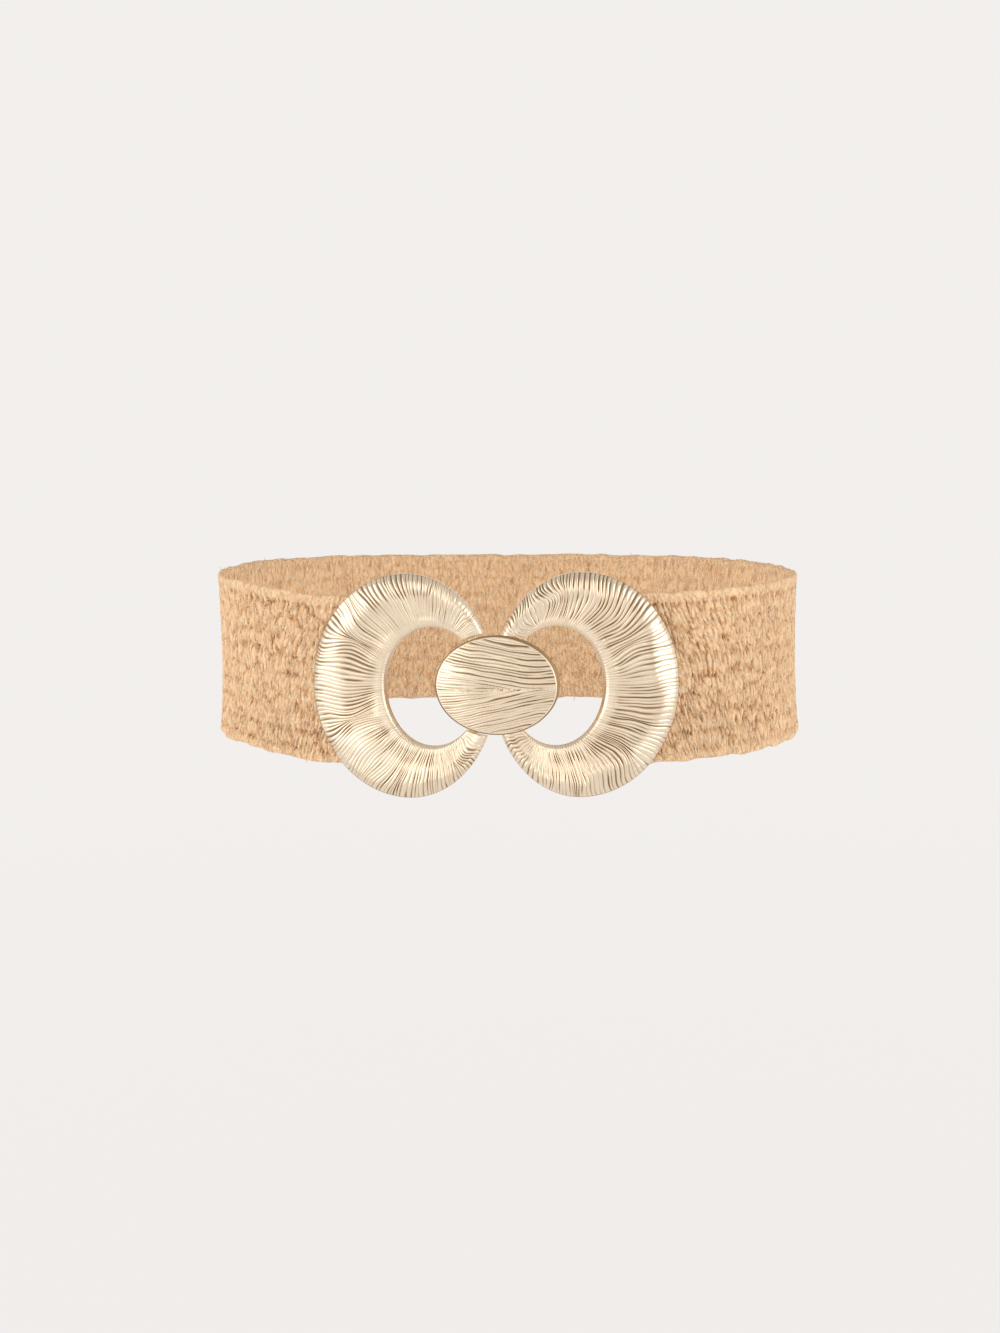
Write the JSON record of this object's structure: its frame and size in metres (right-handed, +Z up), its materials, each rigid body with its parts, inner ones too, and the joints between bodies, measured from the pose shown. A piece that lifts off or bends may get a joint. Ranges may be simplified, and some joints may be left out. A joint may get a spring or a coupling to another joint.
{
  "type": "elastic stretch belt",
  "caption": "Wide shirred straw stretch belt, fastened round a waist by a cast buckle of fluted crescents hooked together behind a fluted oval.",
  "frame": {"origin": "middle of the waist that the belt goes round, level with the middle of the buckle", "axes": "+Z up the wearer, -Y out of the front through the buckle, +X towards the right of someone facing the buckle"},
  "size_m": [0.2428, 0.1952, 0.0868],
  "materials": {
    "straw_cloth": "matt woven paper straw, shirred on elastic",
    "pale_gold_casting": "pale gold plate on a cast zinc alloy, with engraved lines",
    "plain_gold_plate": "smooth pale gold plate"
  },
  "bodies": {
    "root": {"stretch_band": "straw_cloth", "left_crescent": "pale_gold_casting", "right_crescent": "pale_gold_casting", "oval_disc": "pale_gold_casting", "clasp_hook": "plain_gold_plate"}
  },
  "joints": []
}
